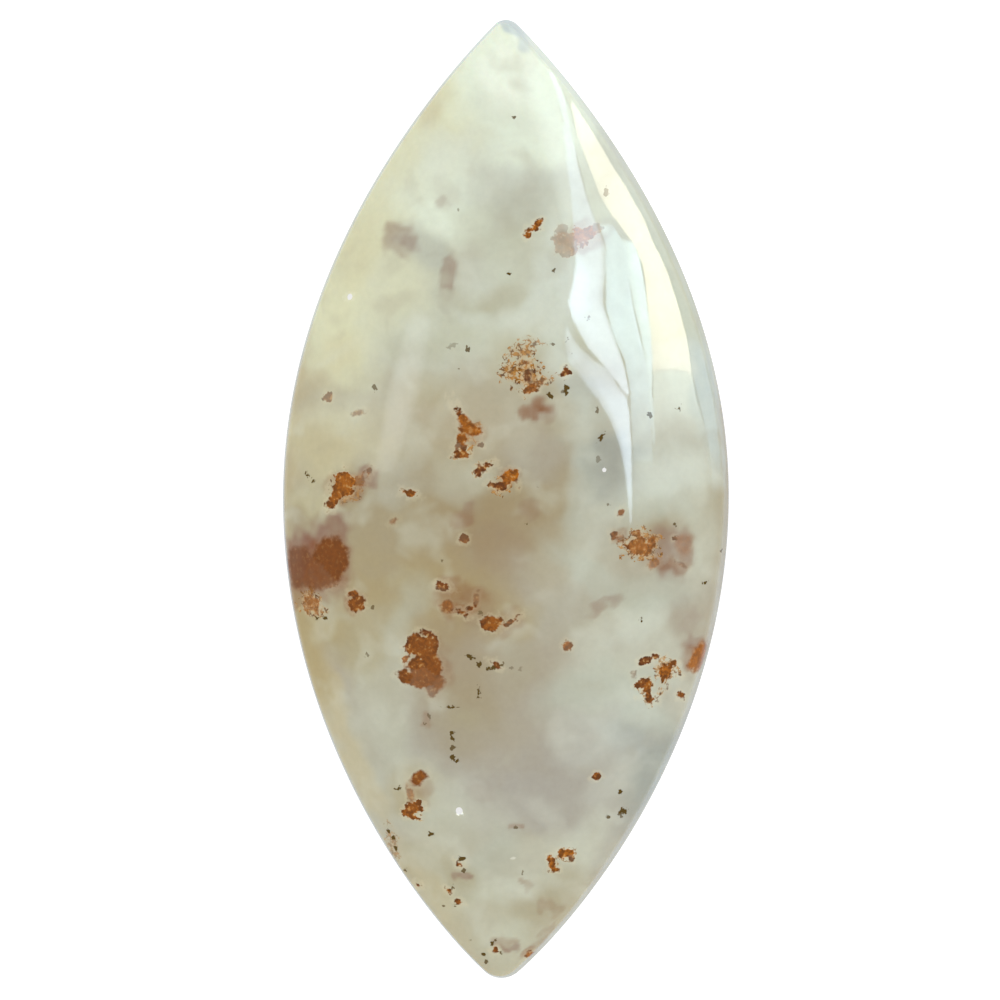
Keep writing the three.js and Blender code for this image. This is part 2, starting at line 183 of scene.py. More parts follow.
# Growths of iron stain and moss: middle across and along the stone, length and width in
# mm, turn in degrees from +X and strength. Plumes and nets add warmth, from dark to
# orange, and plumes the softness of the edge in mm, which grows with their depth.
PLUMES = [
    (1.5, 13, 0.6, 0.45, 20, 1, 0.8, 0.04), (1.3, 12.7, 0.35, 0.3, 60, 1, 0.6, 0.04),
    (1.8, 13.3, 0.3, 0.2, 60, 1, 0.7, 0.04), (3.8, 12.7, 1.35, 0.95, 8, 0.6, 1, 0.06),
    (3.1, 12.3, 1.05, 1.25, 0, 0.35, 0.8, 0.06), (3.4, 12, 0.5, 0.65, 0, 0.45, 0.8, 0.04),
    (4.6, 13, 0.6, 0.4, 0, 0.35, 0.6, 0.04), (2.9, 13, 0.6, 0.4, 30, 0.3, 0.4, 0.04),
    (3.2, 6.2, 0.45, 0.45, 0, 1, 0.1, 0.04), (-2, 4.3, 0.6, 0.15, 128, 0.9, 0.3, 0.04),
    (-1.8, 4.3, 0.65, 0.15, 112, 0.9, 0.3, 0.04), (-1.6, 3.9, 0.8, 0.5, 128, 1, 0.75, 0.09),
    (-1.5, 3.5, 0.95, 0.6, -8, 1, 0.75, 0.09), (-1.1, 3.4, 0.65, 0.55, 10, 1, 0.9, 0.1),
    (-1.7, 3.1, 0.5, 0.6, 10, 0.95, 0.7, 0.08), (-0.8, 3.3, 0.25, 0.35, 0, 0.9, 0.4, 0.04),
    (-1.9, 2.7, 0.2, 0.4, 80, 0.7, 0.3, 0.04), (-1.7, 2.3, 0.6, 0.3, -5, 0.95, 0.5, 0.04),
    (-1.6, 2.6, 0.2, 0.25, 0, 0.8, 0.2, 0.04), (-0.8, 2.8, 0.2, 0.2, 0, 0.6, 0.2, 0.04),
    (-0.5, 1.7, 0.75, 0.4, 25, 1, 0.15, 0.04), (-0.9, 1.5, 0.45, 0.4, 0, 1, 0.1, 0.04),
    (0.1, 0.8, 0.55, 0.45, 20, 0.95, 0.2, 0.04), (-0.3, 0.9, 0.3, 0.25, 0, 0.8, 0.5, 0.04),
    (1.4, 6, 0.35, 0.5, 0, 0.8, 0.05, 0.05), (1.5, 5.4, 0.7, 0.45, 5, 0.85, 0.6, 0.05),
    (1.2, 6.7, 0.4, 0.3, 0, 0.5, 0.7, 0.05), (2, 5.8, 0.35, 0.3, 30, 0.6, 0.3, 0.04),
    (0.6, 1.3, 0.75, 0.55, 10, 1, 1, 0.05), (0.9, 1.1, 0.4, 0.15, 100, 0.7, 0.2, 0.04),
    (-7.4, 0.9, 1.15, 1.25, 30, 1, 0.75, 0.05), (-7.8, 0.4, 0.95, 0.6, 60, 1, 0.7, 0.05),
    (-8.1, -0.2, 0.6, 0.35, 72, 1, 0.5, 0.05), (-6.7, 1, 0.7, 0.65, 20, 0.55, 0.5, 0.08),
    (-6.2, 1.3, 0.2, 0.55, -20, 0.6, 0.4, 0.05), (-8.1, 0.8, 0.25, 0.65, -10, 0.8, 0.2, 0.04),
    (-4.2, 0.4, 0.8, 0.35, -12, 0.9, 1, 0.04), (-5, -0.9, 0.5, 0.35, 40, 0.6, 0.4, 0.08),
    (-1.6, -1.7, 0.4, 0.35, 0, 0.8, 0.3, 0.05), (-8.1, -2.8, 1.8, 2.3, -10, 0.9, 0.2, 0.15),
    (-8.8, -3.5, 2.4, 1.65, 15, 0.7, 0.2, 0.2), (-7.8, -2.6, 0.65, 0.6, 20, 0.7, 0.8, 0.1),
    (-7.4, -2.9, 0.3, 0.65, 0, 0.8, 0.6, 0.04), (-8.1, -4.1, 0.75, 0.2, 12, 0.5, 0.7, 0.05),
    (-9.7, -3.2, 1.45, 2.1, 0, 0.7, 0.1, 0.2), (-9.1, -5, 1.05, 0.85, -20, 0.6, 0.8, 0.05),
    (-6.8, -4.9, 0.75, 0.85, -10, 0.95, 0.4, 0.06), (-7, -4.4, 0.3, 0.6, 80, 0.9, 0.4, 0.05),
    (-2.5, -3.9, 0.6, 0.35, -20, 1, 0.1, 0.04), (-2.6, -4, 0.4, 0.25, 0, 0.8, 0.4, 0.04),
    (-1.7, -5.2, 0.75, 0.3, -15, 0.95, 0.3, 0.05), (-1.3, -5, 0.6, 0.3, 40, 0.95, 0.3, 0.05),
    (-2.4, -4.9, 0.65, 0.65, 0, 0.75, 0.6, 0.1), (-1, -4.5, 0.3, 0.6, -10, 0.5, 0.5, 0.08),
    (-0.2, -5.7, 1.05, 0.8, 30, 1, 0.55, 0.06), (0.6, -5.6, 0.75, 0.2, 38, 0.8, 0.4, 0.04),
    (-0.6, -5.7, 0.4, 0.25, 150, 0.9, 0.2, 0.04),
    (-0.1, -7.6, 0.6, 0.35, -30, 0.95, 0.15, 0.04), (-3.6, -6.9, 1.55, 1.25, 10, 1, 0.4, 0.07),
    (-3.4, -6.2, 0.75, 0.35, -15, 0.9, 0.05, 0.05), (-3.1, -7.6, 0.85, 1.65, 12, 1, 0.35, 0.1),
    (-3.5, -8.3, 2, 1.05, 0, 0.82, 0.4, 0.1), (-4.3, -8.3, 0.95, 0.65, -10, 0.9, 0.4, 0.08),
    (-2.9, -8.5, 0.85, 0.85, 0, 0.75, 0.4, 0.14), (-3.2, -9, 0.6, 0.65, 0, 0.6, 0.3, 0.1),
    (-4.4, -7.4, 0.5, 0.35, 10, 0.8, 0.7, 0.04), (-4.2, -6.8, 0.4, 0.4, 40, 0.9, 0.2, 0.04),
    (-3.9, -7.7, 0.85, 0.6, 0, 0.9, 0.4, 0.06), (3.3, -6.7, 0.55, 0.45, 60, 0.8, 0.6, 0.06),
    (6.7, -2, 1.05, 0.85, 0, 0.75, 0.8, 0.05), (7.2, -1.9, 0.45, 0.65, 0, 0.8, 0.7, 0.05),
    (6.1, -2, 0.35, 0.4, 0, 0.9, 0.1, 0.04), (6.5, -1.4, 0.65, 0.3, 10, 0.7, 0.5, 0.04),
    (5.5, -1.5, 0.4, 0.35, 60, 0.8, 0.3, 0.05), (5.8, -1.6, 0.35, 0.5, 30, 0.5, 0.6, 0.06),
    (5.8, -0.4, 0.4, 0.3, 60, 0.8, 0.5, 0.06), (7.3, -2.9, 0.65, 0.45, 20, 0.55, 0.9, 0.08),
    (8.5, -2.9, 0.65, 0.3, -30, 0.35, 0.4, 0.06), (8.3, -1.7, 0.2, 0.15, 0, 0.7, 0.2, 0.04),
    (8.7, -2, 0.75, 0.95, 0, 0.3, 0.8, 0.14), (9.4, -7.4, 1.55, 0.8, 66, 0.8, 0.9, 0.12),
    (9.3, -7.5, 0.65, 0.6, 0, 0.8, 0.9, 0.06), (6.9, -7.5, 0.55, 0.25, 5, 1, 0.15, 0.04),
    (7.4, -7.3, 0.25, 0.2, 0, 1, 0.1, 0.04), (7.9, -8, 0.5, 0.85, -12, 0.95, 0.9, 0.04),
    (8.1, -7.7, 0.55, 0.3, 10, 0.9, 0.7, 0.04), (8.3, -8.1, 0.35, 0.15, -20, 0.9, 0.1, 0.04),
    (6.7, -8.6, 0.5, 0.5, 0, 1, 0.3, 0.04), (7, -8.8, 0.45, 0.6, 0, 1, 0.7, 0.04),
    (7.1, -9.2, 0.3, 0.45, 30, 0.95, 0.5, 0.04), (6.7, -9.2, 0.35, 0.3, 0, 0.8, 0.4, 0.04),
    (7.4, -9.2, 0.15, 0.3, 0, 0.9, 0.1, 0.04), (7.6, -9.1, 0.15, 0.35, 0, 0.8, 0.1, 0.04),
    (8.6, -9.2, 0.4, 0.35, 0, 0.95, 0.4, 0.05), (6.4, -8.1, 0.3, 0.45, 0, 0.45, 0.4, 0.06),
    (7.9, -8.7, 0.15, 0.3, -20, 0.6, 0.2, 0.04), (4.6, -13, 0.45, 0.35, 20, 1, 0.4, 0.04),
    (-3.8, -13.2, 0.85, 0.6, 50, 0.9, 0.5, 0.1), (-4.3, -14, 0.4, 0.75, 10, 0.6, 0.6, 0.08),
    (-4.1, -14.7, 1, 0.8, 20, 1, 0.6, 0.04), (2.4, -17.2, 0.35, 0.65, 10, 1, 0.9, 0.04),
    (2.6, -17.5, 0.4, 0.3, 0, 0.9, 0.8, 0.04), (3, -16.8, 0.3, 0.45, 30, 0.9, 1, 0.04),
    (3.3, -16.7, 0.35, 0.3, 0, 0.9, 1, 0.04), (3.4, -17, 0.25, 0.25, 0, 0.8, 0.2, 0.04),
    (-4, -18.4, 0.35, 0.25, -30, 0.9, 0.3, 0.04), (-2.5, -18.6, 0.3, 0.25, -40, 0.9, 0.5, 0.04),
    (-2, -19.1, 0.35, 0.25, -30, 0.9, 0.5, 0.04),
    (-1.9, -17.3, 0.35, 0.25, -20, 0.9, 0.4, 0.04), (-8.3, 4.9, 0.45, 0.45, 0, 0.6, 0.3, 0.05),
    (-6.8, 4.2, 0.65, 0.3, 10, 0.5, 0.3, 0.08), (1.4, -21.7, 0.45, 0.25, 30, 0.8, 0.8, 0.05),
    (-0.3, -21.5, 0.3, 0.25, 0, 0.9, 0.4, 0.04),
]
MOSS_NETS = [
    (1, 7, 1.05, 1.55, -15, 0.8, 0.7), (1.2, 6.5, 1.65, 1.25, 0, 1, 0.5),
    (1.4, 5.9, 1.45, 1.35, 10, 1, 0.3), (0.5, 6.3, 1.05, 1.25, 10, 0.9, 0.8),
    (2.2, 5.8, 1.25, 0.5, 25, 0.8, 0.4), (1.6, 7.7, 0.95, 0.3, -20, 0.7, 0.4),
    (-1.4, 3.4, 1.35, 1.05, 0, 0.8, 0.7), (-1.7, 2.4, 0.85, 0.55, 20, 1, 0.5),
    (0.2, 0.8, 1.25, 0.95, 10, 1, 0.5), (6.7, -1.9, 1.8, 1.65, 0, 1, 0.8),
    (-9.1, -4.9, 1.45, 1.35, -20, 1, 0.8), (-7.3, 0.7, 1.65, 1.65, 20, 0.6, 0.6),
    (7.9, -8, 1.15, 1.05, 40, 0.9, 0.6), (6.9, -8.9, 0.85, 1.15, 20, 0.9, 0.3),
    (7.6, -9, 0.5, 0.5, 0, 0.8, 0.2), (-4.1, -14.8, 1.05, 0.8, 0, 0.9, 0.4),
    (-0.7, 1.6, 1.15, 0.6, 25, 0.9, 0.3), (2.5, -17.3, 0.65, 0.75, 0, 0.9, 0.5),
    (3.2, -16.8, 0.85, 0.75, 40, 0.9, 0.5), (-5.2, -16.5, 0.6, 1.75, 10, 0.5, 0.3),
]
ROSE_VEILS = [
    (-4.9, 12.5, 1.8, 1.55, -10, 0.44), (-2.4, 10.8, 1.9, 0.85, 78, 0.38),
    (-2.8, 14.2, 0.65, 0.5, 0, 0.25), (-9.5, -2.9, 2.1, 2.6, 0, 0.75),
    (-8, -1.4, 1.9, 1.45, 15, 0.6), (-8.4, -3, 2.6, 2.7, 0, 0.55),
    (-6.4, 1.1, 1.25, 0.85, 30, 0.55), (2, 4.3, 1.35, 0.95, 0, 0.25),
    (-1.4, -0.6, 0.75, 0.95, 0, 0.3), (8, -2.3, 2.2, 2.4, 0, 0.45),
    (9.4, -6.7, 0.85, 1.25, 60, 0.4), (5, -4.8, 1.65, 0.45, 35, 0.3),
    (-1.7, -17.9, 0.85, 0.45, 0, 0.5), (-0.9, -13.7, 1.45, 0.95, 0, 0.12),
    (1.9, -21, 2.4, 0.45, 52, 0.25), (0.5, -21.4, 0.95, 0.45, 0, 0.5),
    (-1, -4.9, 1.9, 1.9, 0, 0.2), (1.5, -0.3, 0.95, 0.95, 0, 0.22), (0, -2.1, 2.9, 2.4, 0, 0.1),
    (8.7, -5.4, 1.45, 1.9, 0, 0.15),
]
RUST_VEILS = [
    (3.9, 12.6, 2.2, 1.35, 8, 0.35), (1.7, 4.4, 1.25, 0.85, 20, 0.6),
    (2.1, 4.5, 0.65, 0.5, 0, 0.25), (-1.2, 3.3, 1.25, 1.15, 10, 0.3),
    (-8.2, -2.9, 2.1, 2.3, 0, 0.5), (-6.9, -4.8, 0.95, 1.15, -25, 0.5),
    (-9.1, -2.9, 1.25, 2.1, 0, 0.35), (-2.3, -4.9, 0.75, 0.6, 0, 0.65),
    (-1.1, -4.4, 1.25, 1.15, 10, 0.35), (-1.6, -5.1, 1.35, 0.5, 0, 0.5),
    (-3.2, -7.7, 1.9, 2.7, 10, 0.35), (5.7, -1.5, 0.85, 0.85, 0, 0.4),
    (8.8, -2.2, 0.65, 1.65, 0, 0.25), (7.6, -2.9, 1.05, 0.65, 0, 0.35),
    (8.4, -3.1, 1.15, 0.65, 0, 0.35), (9.4, -7.4, 1.25, 1.65, 70, 0.55),
    (0.8, -15.4, 0.65, 0.4, 0, 0.4), (1.2, -18.1, 0.5, 0.75, 60, 0.3),
    (2.4, -19.3, 0.65, 1.05, 60, 0.22), (-3.5, -10.4, 0.5, 0.5, 0, 0.3),
    (-3.8, -13.7, 1.25, 1.25, 0, 0.28), (-2.3, -4.2, 1.45, 1.25, 0, 0.42),
    (-2.3, -5.2, 1.15, 0.85, 0, 0.25), (-9.9, -4.5, 1.15, 1.75, -20, 0.4),
    (0.5, -5.7, 1.65, 1.05, 30, 0.25), (0.5, 1.3, 0.85, 0.65, 0, 0.5),
    (1.4, -21.6, 0.6, 0.5, 0, 0.4), (0.1, -21.1, 1.25, 0.65, 10, 0.35),
    (-8.2, -4, 2.4, 1.45, -20, 0.25), (-7.3, 0.7, 1.65, 1.65, 0, 0.5),
    (-1.6, -0.8, 0.6, 1.15, 80, 0.2),
]
GRAINS = [
    (4.9, 14.7, 0.2, 0.45, 0, 0.6), (2.4, 5.1, 0.35, 0.2, -35, 0.8),
    (3.2, 5.4, 0.2, 0.6, 0, 0.9), (3, 5.3, 0.15, 0.15, 0, 0.5), (-2.3, 7.4, 0.4, 0.2, 20, 0.3),
    (-1.5, 7.2, 0.2, 0.4, 0, 0.7), (-1.9, 6.4, 0.15, 0.15, 0, 0.7),
    (-9.2, 1.1, 0.55, 0.15, -45, 0.8), (4.8, 3.1, 0.5, 0.15, 50, 0.9),
    (4.6, 4.5, 0.25, 0.3, 0, 0.6), (4.7, 2.1, 0.2, 0.25, 0, 0.4), (7.1, 4.2, 0.2, 0.25, 0, 0.7),
    (8.4, 4.5, 0.25, 0.2, 40, 0.8), (2.5, 7.5, 0.2, 0.2, 0, 0.6), (4.1, 8.8, 0.2, 0.15, 0, 0.5),
    (3.2, 7.8, 0.15, 0.2, 0, 0.5), (0.4, 10.9, 0.2, 0.2, 0, 0.8), (2.5, 11, 0.2, 0.2, 0, 0.7),
    (0.5, 18.3, 0.15, 0.15, 0, 0.7), (-2.1, 13.9, 0.15, 0.15, 0, 0.4),
    (-6, 5.4, 0.2, 0.35, 20, 0.6), (-8.8, -5.7, 0.2, 0.2, 0, 0.8),
    (-8.4, -5.6, 0.25, 0.2, 0, 0.8), (1.4, -1, 0.2, 0.2, 0, 0.8),
    (-2.6, -2.7, 0.2, 0.15, 0, 0.6), (-6, -5, 0.15, 0.2, 0, 0.6),
    (-0.8, -5.2, 0.2, 0.2, 0, 0.5), (-1.3, -7.3, 0.35, 0.15, -10, 0.9),
    (-0.9, -7.6, 0.2, 0.25, 0, 0.9), (-0.3, -7.8, 0.3, 0.2, 0, 0.8),
    (0.2, -7.7, 0.3, 0.25, 0, 0.7), (0.7, -7.8, 0.2, 0.2, 0, 0.4),
    (1.1, -7.8, 0.15, 0.15, 0, 0.3), (-0.9, -9, 0.15, 0.5, 10, 0.8),
    (-6.3, -7.3, 0.25, 0.15, 40, 0.5), (-2.3, -9.7, 0.45, 0.15, 0, 0.8),
    (-3.3, -10.2, 0.2, 0.3, 0, 0.5), (-3.5, -10.5, 0.15, 0.25, 0, 0.5),
    (-2.2, -11.1, 0.2, 0.4, 0, 0.8), (-2.2, -11.7, 0.2, 0.25, 0, 0.7),
    (-2.2, -12.1, 0.2, 0.2, 0, 0.8), (-2, -12.3, 0.2, 0.15, 0, 0.8),
    (5.7, -13.8, 0.2, 0.2, 0, 0.8), (5.9, -14.7, 0.45, 0.25, 10, 0.8),
    (5.1, -15, 0.2, 0.15, 0, 0.7), (6.7, -5.5, 0.15, 0.15, 0, 1), (9.7, -3.8, 0.2, 0.2, 0, 0.9),
    (10.4, -2.3, 0.15, 0.15, 0, 0.7), (8.3, -1, 0.2, 0.15, 0, 0.7),
    (-4.9, -13.7, 0.25, 0.15, 0, 0.9), (-5.4, -15.8, 0.15, 0.2, 0, 0.8),
    (-5.2, -16.1, 0.2, 0.2, 0, 0.8), (-5.1, -16.6, 0.25, 0.2, 0, 0.9),
    (-5.4, -17.1, 0.15, 0.25, 0, 0.8), (-3.3, -15.9, 0.25, 0.25, 0, 0.9),
    (-4.6, -17.7, 0.15, 0.15, 0, 0.7), (-2.8, -19.4, 0.15, 0.15, 0, 0.7),
    (-2.3, -18.4, 0.15, 0.15, 0, 0.7), (-2.2, -19.3, 0.2, 0.15, 0, 0.7),
    (-0.4, -21.2, 0.2, 0.2, 0, 0.9), (-0.8, -21.7, 0.2, 0.15, 0, 0.8),
    (-0.7, -22.1, 0.15, 0.15, 0, 0.7), (-0.2, -21, 0.15, 0.15, 0, 0.7),
    (-1.5, -21, 0.15, 0.15, 0, 0.6), (0, -21.6, 0.15, 0.15, 0, 0.7),
    (5.2, 0, 0.15, 0.15, 0, 0.5), (1.9, 0.8, 0.15, 0.15, 0, 0.4),
    (3.4, 7.1, 0.15, 0.15, 0, 0.5), (-1.7, -17.6, 0.2, 0.2, 0, 0.7),
    (5.7, -15, 0.15, 0.15, 0, 0.6), (-1.8, -17, 0.25, 0.15, 0, 0.8),
    (0.8, -15.5, 0.2, 0.2, 0, 0.6), (1.1, -17.6, 0.15, 0.25, 0, 0.5),
]

# Bruises where the polish broke through: whitish specks, partly the pale bruise and mostly
# painted glints of light off the chips, as rows like those of the grains, and pits: middle
# across and along the stone, width and depth in mm
GLINT_FLECKS = [
    (-7.3, 9.7, 0.6, 0.5, 20, 0.1), (-7.4, 9.6, 0.15, 0.1, 20, 0.8), (-2, -14.8, 0.2, 0.15, 60, 1),
    (-1.8, -14.8, 0.2, 0.15, 45, 1), (5, 1.6, 0.1, 0.1, 0, 0.6), (0.6, -17, 0.3, 0.15, 10, 0.3),
]
PITS = [(-7.3, 9.7, 0.3, 0.06), (-1.9, -14.7, 0.35, 0.08), (5, 1.6, 0.2, 0.04)]


def colour(code):
    """An sRGB hex value as linear red, green and blue, with full alpha."""
    shares = [int(code[place:place + 2], 16) / 255 for place in (1, 3, 5)]
    return [s / 12.92 if s <= 0.04045 else ((s + 0.055) / 1.055) ** 2.4 for s in shares] + [1]


def add(tree, kind, feeds=(), **settings):
    """Add a node. Its settings come first, then its feeds, by the name or the place of
    the inputs that it shows. A node feeds its first shown output."""
    node = tree.nodes.new(kind)
    for name, value in settings.items():
        setattr(node, name, value)
    shown = [socket for socket in node.inputs if socket.enabled]
    named = {socket.name: socket for socket in reversed(shown)}
    for key, feed in feeds.items() if isinstance(feeds, dict) else enumerate(feeds):
        socket = named[key] if isinstance(key, str) else shown[key]
        if isinstance(feed, bpy.types.Node):
            feed = next(output for output in feed.outputs if output.enabled)
        if isinstance(feed, bpy.types.NodeSocket):
            tree.links.new(feed, socket)
        else:
            socket.default_value = feed
    return node


MATH = "ShaderNodeMath"
RANGE = "ShaderNodeMapRange"
READ = "ShaderNodeAttribute"
SWITCH = "GeometryNodeSwitch"


def tip_reach(taper, power, sides_end):
    """How far a tip stands from the widest line: the sides' last normal starts on the
    long axis, and the tip is an arc round that point."""
    share = sides_end / taper
    width = HALF_WIDTH * (1 - share**2) ** power
    slope = 2 * power * HALF_WIDTH * share / taper * (1 - share**2) ** (power - 1)
    return sides_end - width * slope + width * math.hypot(1, slope)


# The box of the stone is centred, so its widest line lies a little off the middle
WIDEST_LINE = (
    tip_reach(LOWER_TAPER, LOWER_POWER, LOWER_SIDES_END)
    - tip_reach(UPPER_TAPER, UPPER_POWER, UPPER_SIDES_END)
) / 2

# Shares of the grid's rows and columns at which one zone gives way to the next. Rows run
# from the widest line to the tip, columns from the ridge of the dome to the back's middle.
SIDES_TO_TIP = 0.95
DOME_TO_WALL, WALL_TO_BEVEL, BEVEL_TO_BACK = 0.72, 0.78, 0.81


def pointed_oval_tree():
    """Geometry Nodes for a cabochon cut as a long pointed oval, from its named sizes."""
    tree = bpy.data.node_groups.new("pointed_oval_cabochon", "GeometryNodeTree")
    face = tree.interface
    for name in STONE_SIZES:
        face.new_socket(name, in_out="INPUT", socket_type="NodeSocketFloat")
    for name in ("Rows", "Columns", "Edge Rounding"):
        face.new_socket(name, in_out="INPUT", socket_type="NodeSocketInt")
    face.new_socket("Finish", in_out="INPUT", socket_type="NodeSocketMaterial")
    face.new_socket("Stone", in_out="OUTPUT", socket_type="NodeSocketGeometry")
    size = add(tree, "NodeGroupInput").outputs

    grid = add(tree, "GeometryNodeMeshGrid", [2.0, 2.0, size["Columns"], size["Rows"]])
    spot = add(tree, "ShaderNodeSeparateXYZ", [add(tree, "GeometryNodeInputPosition")])
    across, along = spot.outputs["X"], spot.outputs["Y"]

    # One station on the outline: the normal's foot on the long axis, its angle and reach
    row = add(tree, MATH, [along], operation="ABSOLUTE")
    is_upper = add(tree, "FunctionNodeCompare", [along, 0.0], operation="GREATER_THAN")
    taper, power, sides_end = [
        add(tree, SWITCH, [is_upper, size[f"Lower {part}"], size[f"Upper {part}"]], input_type="FLOAT")
        for part in ("Taper", "Power", "Sides End")
    ]
    up_side = add(tree, RANGE, [row, 0.0, SIDES_TO_TIP, 0.0, 1.0])
    distance = add(tree, MATH, [up_side, sides_end], operation="MULTIPLY")
    share = add(tree, MATH, [distance, taper], operation="DIVIDE")
    share_squared = add(tree, MATH, [share, share], operation="MULTIPLY")
    under = add(tree, MATH, [1.0, share_squared], operation="SUBTRACT")
    width_share = add(tree, MATH, [under, power], operation="POWER")
    width = add(tree, MATH, [width_share, size["Half Width"]], operation="MULTIPLY")
    power_less_one = add(tree, MATH, [power, 1.0], operation="SUBTRACT")
    bend = add(tree, MATH, [under, power_less_one], operation="POWER")
    steepness = add(tree, MATH, [power, size["Half Width"]], operation="MULTIPLY")
    steepness = add(tree, MATH, [steepness, 2.0], operation="MULTIPLY")
    steepness = add(tree, MATH, [steepness, taper], operation="DIVIDE")
    slope = add(tree, MATH, [steepness, share], operation="MULTIPLY")
    slope = add(tree, MATH, [slope, bend], operation="MULTIPLY")
    side_angle = add(tree, MATH, [slope], operation="ARCTANGENT")
    side_cosine = add(tree, MATH, [side_angle], operation="COSINE")
    reach = add(tree, MATH, [width, side_cosine], operation="DIVIDE")
    foot_back = add(tree, MATH, [width, slope], operation="MULTIPLY")
    foot = add(tree, MATH, [distance, foot_back], operation="SUBTRACT")
    angle = add(tree, RANGE, [row, SIDES_TO_TIP, 1.0, side_angle, math.pi / 2])
    cosine = add(tree, MATH, [angle], operation="COSINE")
    sine = add(tree, MATH, [angle], operation="SINE")

    # The section: dome, wall that leans out downwards, bevel and flat back
    column = add(tree, MATH, [across], operation="ABSOLUTE")
    turn = add(tree, RANGE, [column, 0.0, DOME_TO_WALL, 0.0, size["Dome Arc"]])
    lean_left = add(tree, RANGE, [column, DOME_TO_WALL, WALL_TO_BEVEL, size["Wall Lean"], 0.0])
    bevel_cut = add(tree, RANGE, [column, WALL_TO_BEVEL, BEVEL_TO_BACK, 0.0, size["Back Bevel"]])
    wall_height = add(
        tree, RANGE, [column, DOME_TO_WALL, WALL_TO_BEVEL, size["Wall Top"], size["Back Bevel"]]
    )
    back_left = add(tree, RANGE, [column, BEVEL_TO_BACK, 1.0, 1.0, 0.0])
    inset = add(tree, MATH, [lean_left, bevel_cut], operation="ADD")
    height = add(tree, MATH, [wall_height, bevel_cut], operation="SUBTRACT")
    out = add(tree, MATH, [reach, inset], operation="SUBTRACT")
    edge_across = add(tree, MATH, [out, cosine], operation="MULTIPLY")
    edge_along = add(tree, MATH, [out, sine, foot], operation="MULTIPLY_ADD")
    arc_sine = add(tree, MATH, [size["Dome Arc"]], operation="SINE")
    arc_cosine = add(tree, MATH, [size["Dome Arc"]], operation="COSINE")
    turn_sine = add(tree, MATH, [turn], operation="SINE")
    turn_cosine = add(tree, MATH, [turn], operation="COSINE")
    over_dome = add(tree, MATH, [turn_sine, arc_sine], operation="DIVIDE")
    inwards = add(tree, MATH, [over_dome, back_left], operation="MULTIPLY")
    reached = add(tree, MATH, [edge_across, inwards], operation="MULTIPLY")
    lift = add(tree, MATH, [turn_cosine, arc_cosine], operation="SUBTRACT")
    full_lift = add(tree, MATH, [1.0, arc_cosine], operation="SUBTRACT")
    lift = add(tree, MATH, [lift, full_lift], operation="DIVIDE")
    face_half = add(tree, MATH, [size["Half Width"], size["Wall Lean"]], operation="SUBTRACT")
    rise = add(tree, MATH, [edge_across, face_half], operation="DIVIDE")
    rise = add(tree, MATH, [rise, cosine], operation="MULTIPLY")
    rise = add(tree, MATH, [rise, size["Dome Rise"]], operation="MULTIPLY")
    z = add(tree, MATH, [rise, lift, height], operation="MULTIPLY_ADD")

    # Left and right, lower and upper. The right side is a little fuller than the left.
    side = add(tree, MATH, [across], operation="SIGN")
    end = add(tree, MATH, [along], operation="SIGN")
    fuller_side = add(tree, MATH, [side, size["Right Fuller"]], operation="ADD")
    middle = add(tree, MATH, [size["Half Width"], size["Right Fuller"]], operation="MULTIPLY")
    x = add(tree, MATH, [reached, fuller_side], operation="MULTIPLY")
    x = add(tree, MATH, [x, middle], operation="SUBTRACT")
    y = add(tree, MATH, [edge_along, end, size["Widest Line"]], operation="MULTIPLY_ADD")
    shaped = add(tree, "ShaderNodeCombineXYZ", [x, y, z])

    stone = add(tree, "GeometryNodeSetPosition", {"Geometry": grid, "Position": shaped})
    stone = add(tree, "GeometryNodeMergeByDistance", {"Geometry": stone, "Distance": 0.1e-6})
    rounded = add(
        tree, "GeometryNodeBlurAttribute",
        [add(tree, "GeometryNodeInputPosition"), size["Edge Rounding"], 1.0],
        data_type="FLOAT_VECTOR",
    )
    stone = add(tree, "GeometryNodeSetPosition", {"Geometry": stone, "Position": rounded})
    stone = add(tree, "GeometryNodeSetShadeSmooth", {"Geometry": stone})
    stone = add(tree, "GeometryNodeRealizeInstances", {"Geometry": stone})
    stone = add(tree, "GeometryNodeSetMaterial", {"Geometry": stone, "Material": size["Finish"]})
    add(tree, "NodeGroupOutput", [stone])
    return tree


STONE_SIZES = {
    "Half Width": HALF_WIDTH, "Right Fuller": RIGHT_FULLER, "Widest Line": WIDEST_LINE,
    "Upper Taper": UPPER_TAPER, "Upper Power": UPPER_POWER, "Upper Sides End": UPPER_SIDES_END,
    "Lower Taper": LOWER_TAPER, "Lower Power": LOWER_POWER, "Lower Sides End": LOWER_SIDES_END,
    "Back Bevel": BACK_BEVEL, "Wall Top": WALL_TOP, "Wall Lean": WALL_LEAN,
    "Dome Rise": DOME_RISE, "Dome Arc": DOME_ARC,
}


